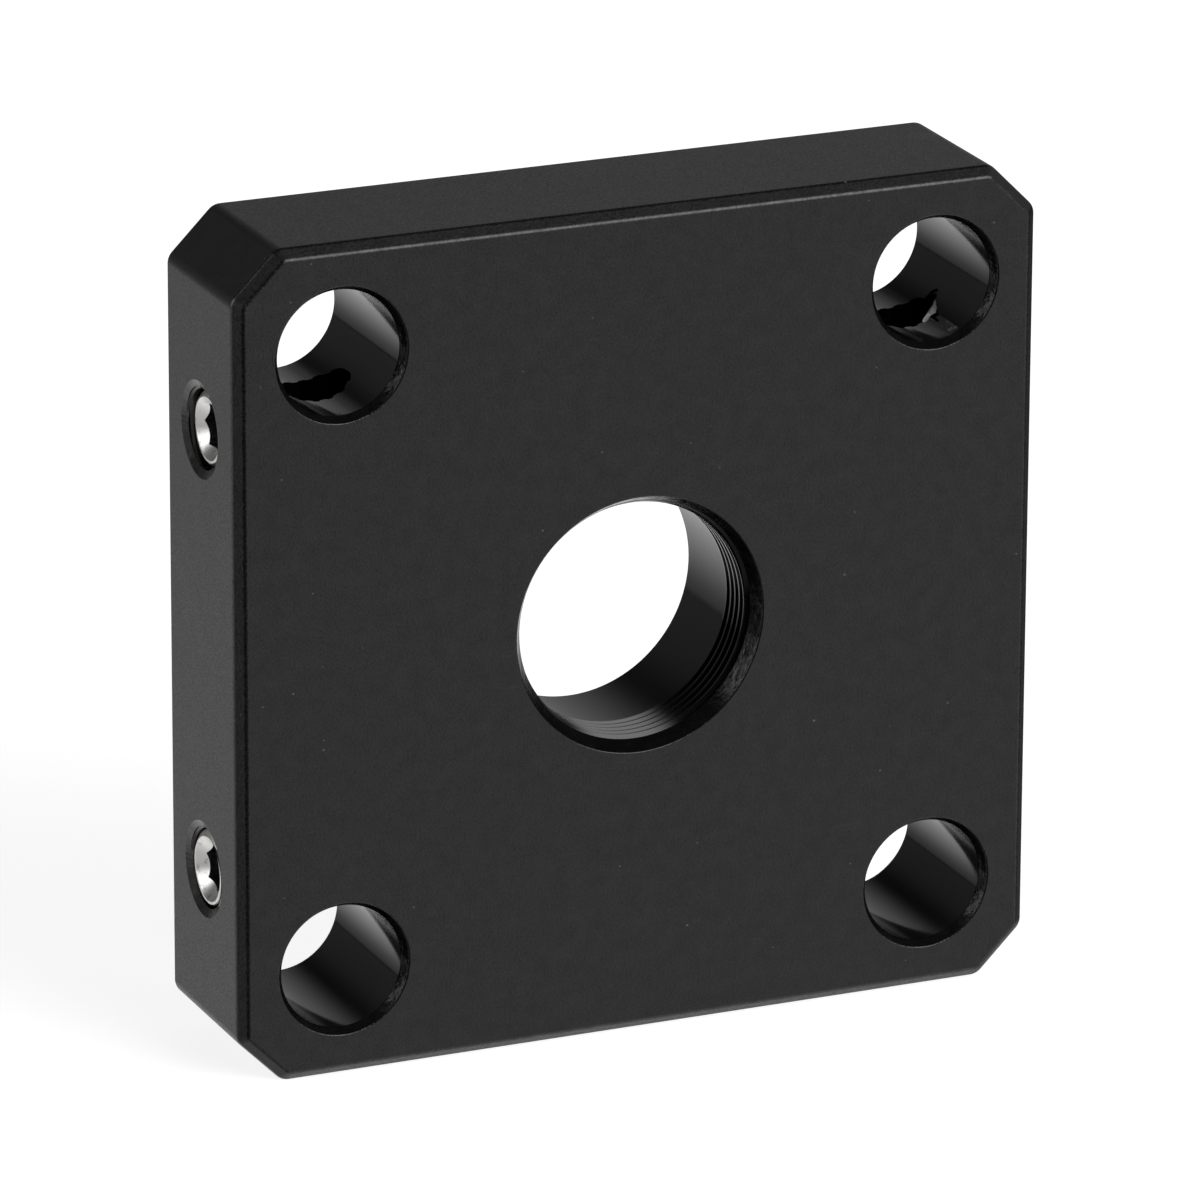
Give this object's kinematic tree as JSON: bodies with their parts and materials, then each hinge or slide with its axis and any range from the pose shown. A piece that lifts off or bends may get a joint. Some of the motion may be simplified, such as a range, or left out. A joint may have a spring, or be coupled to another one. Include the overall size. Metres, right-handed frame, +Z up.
{
  "type": "optical cage plate",
  "caption": "Square black cage plate with a threaded light aperture, rod bores at its corners and locking setscrews in its sides.",
  "frame": {"origin": "centre of the light aperture, halfway through the plate's thickness", "axes": "+X to the right seen from the front, +Y through the plate from front to back, +Z up"},
  "size_m": [0.0406, 0.0088, 0.0406],
  "materials": {
    "black_anodised_aluminium": "bead blasted, then matt black anodised",
    "stainless_steel": "bright stainless steel"
  },
  "bodies": {
    "frame_plate": {"plate": "black_anodised_aluminium"},
    "upper_left_screw": {"lock_screw_upper_left": "stainless_steel"},
    "lower_left_screw": {"lock_screw_lower_left": "stainless_steel"},
    "upper_right_screw": {"lock_screw_upper_right": "stainless_steel"},
    "lower_right_screw": {"lock_screw_lower_right": "stainless_steel"}
  },
  "joints": [
    {"name": "upper_left_lock", "type": "slide", "parent": "frame_plate", "child": "upper_left_screw", "axis": [1, 0, 0], "range_m": [-0.002, 0.003]},
    {"name": "lower_left_lock", "type": "slide", "parent": "frame_plate", "child": "lower_left_screw", "axis": [1, 0, 0], "range_m": [-0.002, 0.003]},
    {"name": "upper_right_lock", "type": "slide", "parent": "frame_plate", "child": "upper_right_screw", "axis": [-1, 0, 0], "range_m": [-0.002, 0.003]},
    {"name": "lower_right_lock", "type": "slide", "parent": "frame_plate", "child": "lower_right_screw", "axis": [-1, 0, 0], "range_m": [-0.002, 0.003]}
  ]
}
